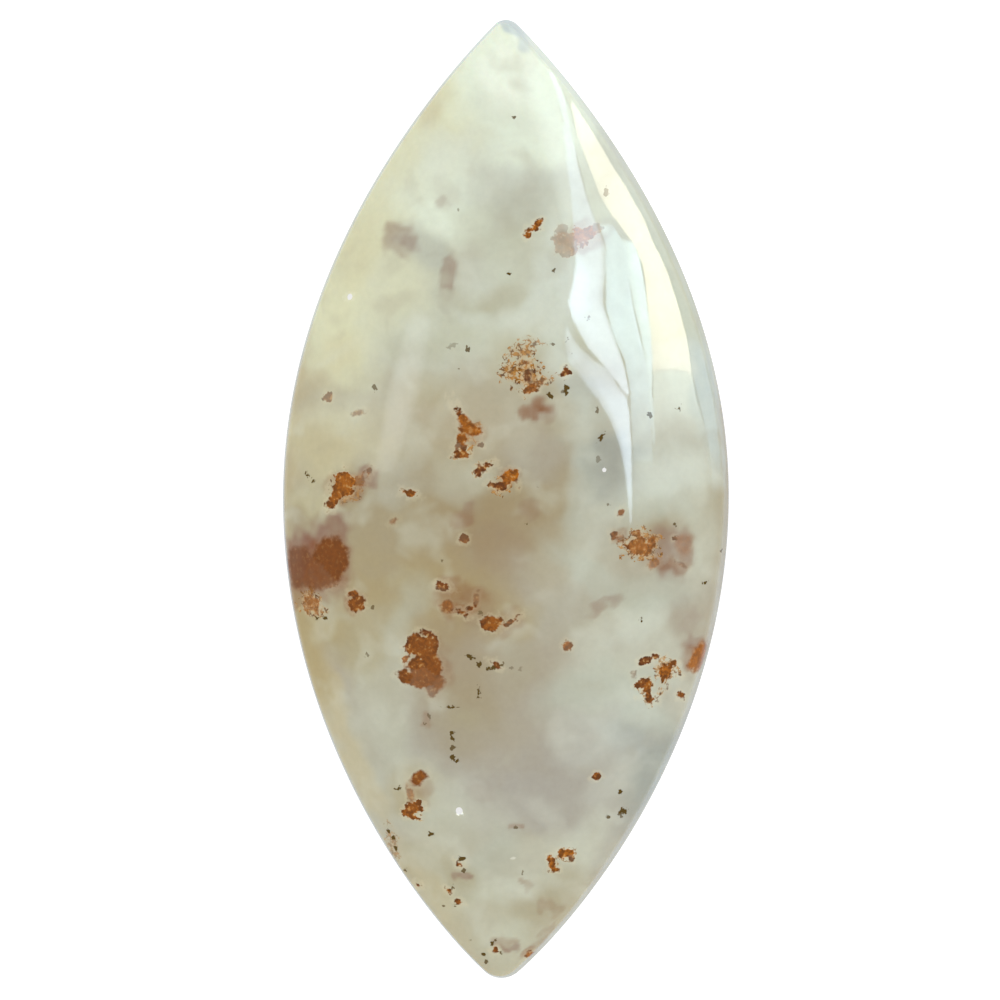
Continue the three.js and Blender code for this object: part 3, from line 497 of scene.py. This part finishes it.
def cut_stone(finish):
    """The stone's mesh, made by the tree and turned into a plain mesh."""
    carrier = bpy.data.objects.new("stone_carrier", bpy.data.meshes.new("stone_carrier"))
    bpy.context.scene.collection.objects.link(carrier)
    cutting = carrier.modifiers.new("cutting", "NODES")
    cutting.node_group = pointed_oval_tree()
    inputs = {**STONE_SIZES, "Rows": 441, "Columns": 217, "Edge Rounding": 1, "Finish": finish}
    for socket in cutting.node_group.interface.items_tree:
        if socket.in_out == "INPUT":
            cutting[socket.identifier] = inputs[socket.name]
    evaluated = carrier.evaluated_get(bpy.context.evaluated_depsgraph_get())
    whole = bpy.data.meshes.new_from_object(evaluated)
    carrier.modifiers.clear()
    carrier.data = whole
    bpy.context.view_layer.update()
    chips = bpy.data.objects.new("chips", chip_mesh(carrier))
    bpy.context.scene.collection.objects.link(chips)
    pitting = carrier.modifiers.new("pitting", "BOOLEAN")
    pitting.operation = "DIFFERENCE"
    pitting.solver = "EXACT"
    pitting.object = chips
    evaluated = carrier.evaluated_get(bpy.context.evaluated_depsgraph_get())
    mesh = bpy.data.meshes.new_from_object(evaluated)
    bpy.data.objects.remove(carrier)
    bpy.data.objects.remove(chips)
    mesh.name = "polished_stone"
    mesh.set_sharp_from_angle(angle=math.radians(35))
    return mesh


def chip_mesh(stone):
    """Rough balls that sit in the face where a pit is. Each is as wide as the pit where it
    meets the face, and reaches as deep."""
    made = bmesh.new()
    for x, y, width, depth in PITS:
        hit, place, normal, face = stone.ray_cast(Vector((x, y, 20)) * MM, Vector((0, 0, -1)))
        radius = (width**2 / 4 + depth**2) / (2 * depth) * MM
        middle = place + normal * (radius - depth * MM)
        ball = bmesh.ops.create_icosphere(made, subdivisions=4, radius=radius)
        for vertex in ball["verts"]:
            rough = noise.noise(vertex.co / MM * 5 + middle / MM)
            vertex.co = vertex.co * (1 + rough * 0.12 * depth * MM / radius) + middle
    mesh = bpy.data.meshes.new("chips")
    made.to_mesh(mesh)
    made.free()
    return mesh


# Markings

def smooth(low, high, values):
    """A soft step from 0 at low to 1 at high."""
    share = np.clip((values - low) / (high - low), 0, 1)
    return share * share * (3 - 2 * share)


MARK_VALUES = ("strength", "warmth", "softness", "radius")


def shares_of(spots, x, y, length, width, turn):
    """Distance of each spot from an oval mark's middle, in shares of its radius there."""
    dx, dy = spots[:, 0] - x, spots[:, 1] - y
    cosine, sine = math.cos(math.radians(turn)), math.sin(math.radians(turn))
    return np.hypot((dx * cosine + dy * sine) * 2 / length, (dy * cosine - dx * sine) * 2 / width)


def depth_in_marks(spots, rows):
    """How deep each spot lies in the mark it is nearest to, in mm, and that mark's
    strength, warmth, softness and radius. Outside all marks the depth is negative."""
    depth = np.full(len(spots), -2.0)
    kept = np.zeros((len(spots), len(MARK_VALUES)))
    for x, y, length, width, turn, *values in rows:
        radius = min(length, width) / 2
        inside = (1 - shares_of(spots, x, y, length, width, turn)) * radius
        nearer = inside > depth
        depth[nearer] = inside[nearer]
        kept[nearer, :len(values)] = values
        kept[nearer, -1] = radius
    return depth, kept


def veil(spots, rows):
    """Strength of the soft veils at each spot."""
    clear = np.ones(len(spots))
    for x, y, length, width, turn, strength in rows:
        clear *= 1 - strength * smooth(1.35, 0.65, shares_of(spots, x, y, length, width, turn))
    return 1 - clear


def mark(mesh, name, values, kind="FLOAT"):
    """Keep values on the mesh's points, for the material to read."""
    field = "color" if kind == "FLOAT_COLOR" else "value"
    attribute = mesh.attributes.new(name, kind, "POINT")
    attribute.data.foreach_set(field, np.ascontiguousarray(values, np.float32).ravel())


def paint_markings(mesh):
    """Clouds, veils, plumes, grains and specks, as values on the mesh's points. The clouds
    carry painted light at the thin tips and edges, and the whitish specks are mostly painted
    glints. They run down through the stone aslant, and the back has plumes of its own."""
    points = np.zeros(len(mesh.vertices) * 3)
    mesh.vertices.foreach_get("co", points)
    points = points.reshape(-1, 3) / MM
    drift = np.array([
        noise.noise_vector(Vector(p) * 0.4) * 0.6 + noise.noise_vector(Vector(p) * 1.1) * 0.4
        for p in points
    ])
    ripple = np.array([noise.noise_vector(Vector(p) * 1.9 + Vector((7, 3, 5))) for p in points])
    front = smooth(0.0, 1.5, points[:, 2])
    slanted = points[:, :2] + np.outer(1 - front, (1.3, -1.7))

    # Ground and clouds, with painted light: paler at the thin tips and edges, and bluish painted
    # reflection along the right rim
    places = [place for place, tone in GROUND_AND_GLOW]
    tones = np.array([colour(TONES[tone]) for place, tone in GROUND_AND_GLOW])
    spots = slanted + drift[:, :2]
    ground = np.stack([np.interp(spots[:, 1], places, tones[:, c]) for c in range(4)], axis=1)
    for tone, x, y, length, width, turn, strength, softness in CLOUDS_AND_GLOW:
        share = shares_of(spots, x, y, length, width, turn)
        cover = strength * smooth(1 + softness, 1 - softness, share)
        ground += cover[:, None] * (colour(TONES[tone]) - ground)
    mark(mesh, "cloud_and_glow_colour", ground, "FLOAT_COLOR")

    # Veils and plumes of the face, which thin out towards the back
    spots = slanted + ripple[:, :2] * 0.4
    mark(mesh, "rose_veil", veil(spots, ROSE_VEILS) * (0.35 + 0.65 * front))
    mark(mesh, "rust_veil", veil(spots, RUST_VEILS) * (0.35 + 0.65 * front))
    spots = slanted + ripple[:, :2] * 0.08
    seeded = np.random.default_rng(5)
    own = [
        (x, y, length, length * seeded.uniform(0.5, 1), seeded.uniform(0, 180), 0.9, warm, 0.1)
        for x, y, length, warm in zip(
            seeded.normal(0, 3.6, 40), seeded.normal(0, 8.5, 40),
            seeded.uniform(0.3, 1.5, 40), seeded.uniform(0.2, 0.9, 40),
        )
    ]
    marks = (("plume", PLUMES), ("net", MOSS_NETS), ("grain", GRAINS), ("glint_fleck", GLINT_FLECKS))
    for name, rows in marks:
        depth, kept = depth_in_marks(spots, rows)
        depth -= (1 - front) * 0.8
        if name in ("plume", "net"):
            behind, kept_behind = depth_in_marks(spots, own)
            behind -= front * 3
            nearer = behind > depth
            depth[nearer] = behind[nearer]
            kept[nearer] = kept_behind[nearer]
        mark(mesh, name + "_depth", depth)
        for part, values in zip(MARK_VALUES, kept.T):
            mark(mesh, f"{name}_{part}", values)


# Materials

def polished_plume_agate():
    """Plume agate: milky, slightly see-through chalcedony with iron-stained growths, cut
    and polished with a fine oxide. It gives the eye a deep soft body under a hard clear
    gloss with sharp reflections, and rust-brown growths with crisp twigs."""
    finish = bpy.data.materials.new("polished_plume_agate")
    finish.use_nodes = True
    tree = finish.node_tree
    tree.nodes.clear()
    NOISE, MIX = "ShaderNodeTexNoise", "ShaderNodeMix"
    place = add(tree, "ShaderNodeTexCoord").outputs["Object"]
    mm = add(tree, "ShaderNodeMapping", {"Vector": place, "Scale": (1000, 1000, 1000)})
    reads = {
        name: add(tree, READ, attribute_name=name).outputs["Fac"]
        for name in (
            "rose_veil", "rust_veil", "plume_depth", "plume_strength", "plume_warmth",
            "plume_softness", "plume_radius", "net_depth", "net_strength", "net_radius",
            "grain_depth", "grain_strength", "glint_fleck_depth", "glint_fleck_strength",
        )
    }
    # The ground and clouds, which carry painted light at the thin tips and edges
    body = add(tree, READ, attribute_name="cloud_and_glow_colour").outputs["Color"]

    # Wisps 1 to 4 mm long, lighter and darker than the clouds they run through, and a
    # very faint mottling of 0.3 mm
    wisps = add(tree, NOISE, {
        "Vector": mm, "Scale": 0.5, "Detail": 2, "Roughness": 0.45, "Distortion": 0.3})
    light = add(tree, RANGE, [wisps, 0.5, 0.75, 0.0, 0.3], interpolation_type="SMOOTHSTEP")
    dark = add(tree, RANGE, [wisps, 0.48, 0.25, 0.0, 0.25], interpolation_type="SMOOTHSTEP")
    body = add(tree, MIX, [light, body, colour("#D5DACB")], data_type="RGBA")
    body = add(tree, MIX, [dark, body, colour("#A39A84")], data_type="RGBA")
    grainy = add(tree, NOISE, {"Vector": mm, "Scale": 3.2, "Detail": 3, "Roughness": 0.6})
    mottle = add(tree, RANGE, [grainy, 0.3, 0.7, 0.975, 1.025])
    body = add(tree, "ShaderNodeVectorMath", {0: body, "Scale": mottle}, operation="SCALE")

    # Edges of the growths: lobes of 0.6 mm with a finer crumb of 0.2 mm
    lobes = add(tree, NOISE, {"Vector": mm, "Scale": 1.7, "Detail": 1, "Roughness": 0.5})
    crumb = add(tree, NOISE, {"Vector": mm, "Scale": 5.0, "Detail": 1.5, "Roughness": 0.55})
    lobe_shift = add(tree, RANGE, [lobes, 0.0, 1.0, -0.45, 0.45], clamp=False)
    crumb_shift = add(tree, RANGE, [crumb, 0.0, 1.0, -0.35, 0.35], clamp=False)

    def ragged(depth, radius, crispness):
        """A mark's depth with lobes and crumb at its edge, less of them if it is small or
        soft."""
        shift = add(tree, MATH, [lobe_shift, crumb_shift], operation="ADD")
        shift = add(tree, MATH, [shift, crispness], operation="MULTIPLY")
        room = add(tree, RANGE, [radius, 0.1, 0.6, 0.4, 1.0])
        return add(tree, MATH, [shift, room, depth], operation="MULTIPLY_ADD")

    # Soft veils of iron stain, deep in the stone
    uneven = add(tree, RANGE, [lobes, 0.3, 0.7, 0.8, 1.15])
    for name, tone in (("rose_veil", "#84584A"), ("rust_veil", "#844A10")):
        amount = add(tree, MATH, [reads[name], uneven], operation="MULTIPLY", use_clamp=True)
        body = add(tree, MIX, [amount, body, colour(tone)], data_type="RGBA")

    # Nets of moss: crumbs 0.2 mm wide, and threads 0.1 mm thick along the edges of cells
    # 0.3 mm wide, both thickest in the middle of a net, over a tan haze
    bent = add(tree, NOISE, {"Vector": mm, "Scale": 2.5, "Detail": 2}).outputs["Color"]
    bent = add(tree, "ShaderNodeVectorMath", [bent, (0.5, 0.5, 0.5)], operation="SUBTRACT")
    bent = add(tree, "ShaderNodeVectorMath", {0: bent, "Scale": 0.7}, operation="SCALE")
    bent = add(tree, "ShaderNodeVectorMath", [mm, bent], operation="ADD")
    cells = add(
        tree, "ShaderNodeTexVoronoi", {"Vector": bent, "Scale": 3.2}, feature="DISTANCE_TO_EDGE")
    moss = add(tree, NOISE, {
        "Vector": mm, "Scale": 4.0, "Detail": 2.5, "Roughness": 0.6, "Distortion": 0.5})
    net_edge = ragged(reads["net_depth"], reads["net_radius"], 1.0)
    haze = add(tree, RANGE, [net_edge, -0.1, 0.45, 0.0, 0.6], interpolation_type="SMOOTHSTEP")
    haze = add(tree, MATH, [haze, reads["net_strength"]], operation="MULTIPLY")
    body = add(tree, MIX, [haze, body, colour("#C69E66")], data_type="RGBA")
    thick = add(tree, RANGE, [net_edge, 0.0, 0.5, 0.03, 0.13])
    thin = add(tree, MATH, [thick, 0.08], operation="ADD")
    threads = add(tree, RANGE, [cells, thick, thin, 1.0, 0.0], interpolation_type="SMOOTHSTEP")
    broken = add(tree, RANGE, [crumb, 0.42, 0.5, 0.0, 1.0])
    threads = add(tree, MATH, [threads, broken], operation="MULTIPLY")
    sparse = add(tree, RANGE, [net_edge, 0.0, 0.5, 0.58, 0.49])
    sparser = add(tree, MATH, [sparse, 0.05], operation="ADD")
    twigs = add(tree, RANGE, [moss, sparse, sparser, 0.0, 1.0])
    twigs = add(tree, MATH, [twigs, threads], operation="MAXIMUM")
    inside = add(tree, RANGE, [net_edge, -0.04, 0.04, 0.0, 1.0], interpolation_type="SMOOTHSTEP")
    for share in (inside, reads["net_strength"]):
        twigs = add(tree, MATH, [twigs, share], operation="MULTIPLY")
    tint = add(tree, NOISE, {"Vector": mm, "Scale": 3.6, "Detail": 2, "Roughness": 0.7})
    bark = add(tree, RANGE, [tint, 0.38, 0.6, 0.0, 1.0])
    bark = add(tree, MIX, [bark, colour("#583210"), colour("#AE7830")], data_type="RGBA")
    body = add(tree, MIX, [twigs, body, bark], data_type="RGBA")

    # Dense plumes: orange-brown to rust, with dark crumbs and pale crumbs, most of them at
    # the rim, and pale stone around. The pale crumbs are partly gaps in the growth and partly
    # painted glints.
    crisp = add(tree, RANGE, [reads["plume_softness"], 0.04, 0.14, 1.0, 0.3])
    edge = ragged(reads["plume_depth"], reads["plume_radius"], crisp)
    pale = add(tree, RANGE, [edge, -0.2, -0.03, 0.0, 0.25])
    for share in (crisp, reads["plume_strength"]):
        pale = add(tree, MATH, [pale, share], operation="MULTIPLY")
    body = add(tree, MIX, [pale, body, colour("#E8DDBA")], data_type="RGBA")
    outer = add(tree, MATH, [reads["plume_softness"], -1.0], operation="MULTIPLY")
    fill = add(tree, RANGE, [edge, outer, reads["plume_softness"], 0.0, 1.0],
               interpolation_type="SMOOTHSTEP")
    full = add(tree, RANGE, [reads["plume_strength"], 0.0, 0.9, 0.0, 1.0])
    fill = add(tree, MATH, [fill, full], operation="MULTIPLY")
    rust = add(
        tree, MIX, [reads["plume_warmth"], colour("#6A3812"), colour("#AC640C")],
        data_type="RGBA")
    patchy = add(tree, RANGE, [tint, 0.42, 0.62, 0.0, 0.5])
    rust = add(tree, MIX, [patchy, rust, colour("#6A3C12")], data_type="RGBA")
    near_rim = add(tree, RANGE, [edge, 0.0, 0.45, 1.0, 0.3])
    near_rim = add(tree, MATH, [near_rim, crisp], operation="MULTIPLY")
    # Dark crumbs, then pale ones that are partly painted glints
    for low, high, share, tone in ((0.5, 0.6, 0.72, "#3E2004"), (0.42, 0.34, 0.6, "#D0A464")):
        crumbs = add(tree, RANGE, [crumb, low, high, 0.0, share])
        crumbs = add(tree, MATH, [crumbs, near_rim], operation="MULTIPLY")
        rust = add(tree, MIX, [crumbs, rust, colour(tone)], data_type="RGBA")
    body = add(tree, MIX, [fill, body, rust], data_type="RGBA")

    # Single grains of iron and manganese oxide
    grain_shift = add(tree, RANGE, [crumb, 0.0, 1.0, -0.2, 0.2], clamp=False)
    grain_edge = add(tree, MATH, [reads["grain_depth"], grain_shift], operation="ADD")
    grains = add(tree, RANGE, [grain_edge, -0.03, 0.02, 0.0, 1.0], interpolation_type="SMOOTHSTEP")
    full = add(tree, RANGE, [reads["grain_strength"], 0.0, 0.8, 0.0, 1.0])
    grains = add(tree, MATH, [grains, full], operation="MULTIPLY")
    body = add(tree, MIX, [grains, body, colour("#54400E")], data_type="RGBA")

    # Whitish specks, whiter than the stone round them: partly pale bruising, mostly painted
    # glints of light off the chips
    glint_fleck_edge = add(tree, MATH, [reads["glint_fleck_depth"], grain_shift], operation="ADD")
    glint_flecks = add(tree, RANGE, [glint_fleck_edge, -0.03, 0.05, 0.0, 1.0], interpolation_type="SMOOTHSTEP")
    glint_flecks = add(tree, MATH, [glint_flecks, reads["glint_fleck_strength"]], operation="MULTIPLY")
    body = add(tree, MIX, [glint_flecks, body, colour("#FBFCF4")], data_type="RGBA")

    # Iron stain lets less light in than chalcedony does
    growth = add(tree, MATH, [fill, twigs], operation="MAXIMUM")
    growth = add(tree, MATH, [growth, grains], operation="MAXIMUM")
    milky = add(tree, RANGE, [growth, 0.0, 1.0, 0.4, 0.03])

    # A hand-held polish leaves the face very slightly wavy, over 3 mm or so
    waves = add(tree, NOISE, {"Vector": mm, "Scale": 0.3, "Detail": 1})
    polish = add(tree, "ShaderNodeBump", {"Height": waves, "Strength": 1.0, "Distance": 0.006 * MM})
    shader = add(tree, "ShaderNodeBsdfPrincipled", {
        "Base Color": body, "Roughness": 0.04, "IOR": 1.54, "Normal": polish,
        "Subsurface Weight": milky, "Subsurface Radius": (1.1, 0.9, 0.7), "Subsurface Scale": MM,
    })
    add(tree, "ShaderNodeOutputMaterial", [shader])
    return finish


def paper():
    """Matt white paper, evenly lit: it gives a plain pale ground with almost no grain."""
    finish = bpy.data.materials.new("matt_white_paper")
    finish.use_nodes = True
    tree = finish.node_tree
    tree.nodes.clear()
    shader = add(tree, "ShaderNodeBsdfPrincipled", {
        "Base Color": colour("#A0A0A0"), "Roughness": 0.9, "Specular IOR Level": 0.1,
        "Emission Color": colour("#FFFFFF"), "Emission Strength": 0.85,
    })
    add(tree, "ShaderNodeOutputMaterial", [shader])
    return finish


def window_light():
    """Daylight in a window pane, as bright and tinted as the pane's points say."""
    finish = bpy.data.materials.new("window_daylight")
    finish.use_nodes = True
    tree = finish.node_tree
    tree.nodes.clear()
    lit = add(tree, READ, attribute_name="daylight").outputs["Color"]
    add(tree, "ShaderNodeOutputMaterial", [add(tree, "ShaderNodeEmission", [lit, 1.0])])
    return finish


def stage_mesh(name, corners, faces, finish):
    """A part of the stage, such as the ground or a lit pane."""
    mesh = bpy.data.meshes.new(name)
    mesh.from_pydata(corners, [], faces)
    mesh.materials.append(finish)
    made = bpy.data.objects.new(name, mesh)
    bpy.context.scene.collection.objects.link(made)
    return made


# The stone
stone_mesh = cut_stone(polished_plume_agate())
paint_markings(stone_mesh)
stone = bpy.data.objects.new("polished_stone", stone_mesh)
bpy.context.scene.collection.objects.link(stone)
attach(stone, "root")
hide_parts("agate_cabochon")

# The ground
HALF_SHEET, SHEET_DROP = 1.0, -0.02 * MM
SQUARE = ((-1, -1), (1, -1), (1, 1), (-1, 1))
corners = [(x * HALF_SHEET, y * HALF_SHEET, SHEET_DROP) for x, y in SQUARE]
sheet = stage_mesh("white_sheet", corners, [(0, 1, 2, 3)], paper())
sheet.visible_glossy = False

# Windows seen in the polish. Each pane is a strip on a sphere round the stone, with a
# tint, the shares of its light from the left edge to the right, and rows: azimuth from +X
# and elevation of the left and the right edge, in degrees, and the light there. Each pane
# is a little further out than the one before, which hides it where the two overlap.
PANE_DISTANCE, PANE_STEP = 1.2, 0.005
PANES = {
    "soft_glow": ("#E2F2F4", (0.1, 0.4, 0.7, 0.9, 1), [
        (67.5, 54, 44.5, 7, 2.8), (71, 56, 45, 23.5, 3), (70, 57, 45.5, 32, 3.6),
        (67.5, 57, 47, 40.5, 4), (62, 56.5, 48, 46.5, 4.6), (57.5, 56.5, 47.5, 50, 4.6),
        (53, 56.5, 47, 52.5, 4.2), (49.5, 58, 46, 55, 4)]),
    "upper_sash": ("#D6EAFF", (0.8, 1, 1, 1, 1, 1, 0.6), [
        (44.5, 2.5, 44, 0.5, 6), (45, 23.5, 43, 13, 6.5), (45.5, 31, 43, 20, 6.5),
        (45.5, 35, 43.5, 27, 6.5), (47, 40.5, 43.5, 33, 6.5), (48, 46.5, 43.5, 40, 7.5),
        (47.5, 50, 42, 42.5, 8), (47, 52.5, 39, 42.5, 8.5), (46, 55, 35.5, 42, 9.5),
        (44.5, 56, 34.5, 44.5, 10.5), (44.5, 58, 34, 46.5, 11.5), (45, 60, 33.5, 49, 12),
        (45.5, 62, 32.5, 50.5, 12), (42, 62, 30, 50, 12), (31, 59, 24, 48.5, 11),
        (24, 55, 20.5, 47.5, 11), (19.5, 51.5, 18, 47.5, 11), (16.5, 49, 16, 47.5, 11)]),
    "lower_sash": ("#D6EAFF", (0.5, 1, 1, 0.9), [
        (44, 64.5, 43, 64, 4), (41.5, 66, 36, 62.5, 5), (37, 66.5, 28, 58.5, 6.5),
        (32, 65, 23, 54, 8), (27.5, 63, 19.5, 52, 9), (20.5, 59.5, 16, 49, 10.5),
        (15.5, 57, 13, 48.5, 10.5), (11.5, 55, 10, 49, 10.5), (7.5, 53.5, 7, 49, 10),
        (3.5, 52.5, 3.5, 49.5, 9), (-1.5, 51.5, -1.5, 49.5, 7), (-6.5, 50, -6.5, 49, 4)]),
    "dim_sash": ("#CCECFF", (0.9, 1, 0.9, 1), [
        (37.5, 41.5, 34, 33.5, 9), (35, 41.5, 31, 30.5, 9.5), (34.5, 44.5, 29.5, 33, 10),
        (33, 47, 28, 36, 10.5), (31.5, 49.5, 26, 37.5, 11), (27.5, 49.5, 22.5, 38, 10.5),
        (21.5, 47, 18.5, 38, 9.5), (16, 47, 14, 39.5, 6.5), (12.5, 48, 11, 39.5, 4.5),
        (4.5, 48.5, 4, 40.5, 2)]),
    "side_sash": ("#D6F4FF", (0.8, 1, 1), [
        (32, 31, 30, 24.5, 10), (30.5, 32, 28.5, 24.5, 12), (29, 34.5, 27, 26.5, 13),
        (26, 37, 24.5, 29.5, 11.5), (23, 37, 22, 31.5, 11), (19, 38, 18, 34, 10),
        (14, 39.5, 14, 37.5, 7), (11, 39.5, 10.5, 38, 5), (7, 40, 6.5, 38.5, 3)]),
    "faint_gap": ("#E0F4F2", (1, 1), [
        (43.5, 23.5, 42.5, 18.5, 4), (44, 32, 42.5, 28, 4), (43, 39, 40.5, 33.5, 4),
        (41.5, 42, 38, 34, 4.6), (38.5, 42, 34.5, 32, 5)]),
    "low_window": ("#FFFCEA", (0.9, 1, 1, 0.9), [
        (42, 13.5, 41.5, 6, 8), (42, 30.5, 38.5, 8, 9), (40, 33.5, 35.5, 9.5, 9.5),
        (37, 34, 32.5, 5, 10), (34.5, 31.5, 30.5, 5, 11), (30, 24.5, 28, 6, 12),
        (27.5, 24, 25.5, 6, 12), (24.5, 29, 22, 7, 12), (20.5, 33, 17.5, 8.5, 10),
        (16.5, 35, 13.5, 11.5, 8.5)]),
    "low_sill": ("#E4F4EC", (1, 1), [
        (16.5, 35, 13.5, 11.5, 6.2), (12.5, 37.5, 10.5, 11.5, 4.8), (9, 38.5, 7.5, 8.5, 2.5),
        (5, 39, 4.5, 6, 0)]),
    "far_window": ("#F4FBFF", (0.2, 0.9, 1, 0.9, 0.2), [
        (151.5, 49, 146, 58, 1.6), (162, 46.5, 156.5, 59, 2.6), (171.5, 45.5, 169, 56.5, 2.6),
        (178.5, 42.5, 178, 53, 1.6)]),
    "low_wall": ("#C8E4F4", (1, 1), [
        (41.5, 7.5, 41.5, -14, 2), (38.5, 10, 38.5, -14, 2), (35.5, 12, 35.5, -14, 2.4),
        (32.5, 11.5, 32.5, -14, 3), (30.5, 10, 30.5, -14, 3.6), (28, 11.5, 28, -14, 3.6),
        (25.5, 9, 25.5, -14, 3.2), (22, 7, 22, -14, 2.6), (17.5, 8, 17.5, -14, 2.6),
        (13.5, 11, 13.5, -14, 3), (8, 8, 8, -14, 3), (3, 6, 3, -14, 2), (-3, 5, -3, -14, 0)]),
    "paper_shine": ("#F0F8FF", (1, 1), [
        (turn, -14, turn, -85, 0.7) for turn in range(360, -1, -15)]),
    "sash_haze": ("#D6EAFF", (0, 0.6, 1, 1, 1), [
        (51.5, 58.5, 43, 40, 0.8), (54.5, 62, 36, 34, 2.6), (55, 64, 33, 26, 3),
        (54, 65, 28, 24, 3.4), (53, 66.5, 25, 28, 3.6), (53, 68.5, 22, 32, 3.2),
        (53.5, 70, 18, 35, 2.4), (54, 72, 14, 38, 0)]),
}


def towards(azimuth, elevation, distance):
    """The place in that direction, at that distance from the stone."""
    turn, tilt = math.radians(azimuth), math.radians(elevation)
    level = distance * math.cos(tilt)
    return level * math.cos(turn), level * math.sin(turn), distance * math.sin(tilt)


daylight = window_light()
for number, (name, (tint, shares, rows)) in enumerate(PANES.items()):
    distance = PANE_DISTANCE + PANE_STEP * number
    columns = np.linspace(0, 1, len(shares))[:, None]
    places, lit = [], []
    for *edges, light in rows:
        left, right = np.array(edges[:2]), np.array(edges[2:])
        edge_to_edge = left + (right - left) * columns
        places += [towards(*direction, distance) for direction in edge_to_edge]
        lit += [np.array(colour(tint)) * light * share for share in shares]
    strips = [
        (n, n + 1, n + len(shares) + 1, n + len(shares))
        for n in range(len(places) - len(shares)) if (n + 1) % len(shares)
    ]
    pane = stage_mesh(name, places, strips, daylight)
    mark(pane.data, "daylight", lit, "FLOAT_COLOR")
    pane.visible_camera = False
    pane.visible_diffuse = False

# Soft light from all round. What the polish mirrors between the windows is a dim room.
world = bpy.data.worlds.new("soft_daylight")
bpy.context.scene.world = world
world.use_nodes = True
world.node_tree.nodes.clear()
mirrored = add(world.node_tree, "ShaderNodeLightPath").outputs["Is Glossy Ray"]
level = add(world.node_tree, RANGE, [mirrored, 0.0, 1.0, 1.08, 0.35])
sky = add(world.node_tree, "ShaderNodeBackground", [colour("#FFFEFC"), level])
add(world.node_tree, "ShaderNodeOutputWorld", [sky])

# The camera looks down on the face from 4.5 degrees off upright, towards the right
FRAME_SIZE, GIRDLE_HEIGHT, LEFT_OF_MIDDLE = 47.87 * MM, 0.8 * MM, -0.24 * MM
TILT, TILT_TURN, ROLL = math.radians(4.5), math.radians(25), math.radians(0.27)
camera = bpy.data.objects.new("camera", bpy.data.cameras.new("camera"))
bpy.context.scene.collection.objects.link(camera)
camera.data.lens = 300
camera.data.sensor_width = 36
backwards = Vector((
    math.sin(TILT) * math.cos(TILT_TURN), math.sin(TILT) * math.sin(TILT_TURN), math.cos(TILT),
))
sideways = Vector((-math.sin(ROLL), math.cos(ROLL), 0)).cross(backwards).normalized()
upwards = backwards.cross(sideways)
target = Vector((LEFT_OF_MIDDLE, 0, GIRDLE_HEIGHT))
away = FRAME_SIZE * camera.data.lens / camera.data.sensor_width
turned = Matrix((sideways, upwards, backwards)).transposed().to_4x4()
camera.matrix_world = Matrix.Translation(target + backwards * away) @ turned
camera.data.clip_start, camera.data.clip_end = 0.01, 10
bpy.context.scene.camera = camera
bpy.context.scene.view_settings.view_transform = "Standard"

bpy.context.view_layer.update()
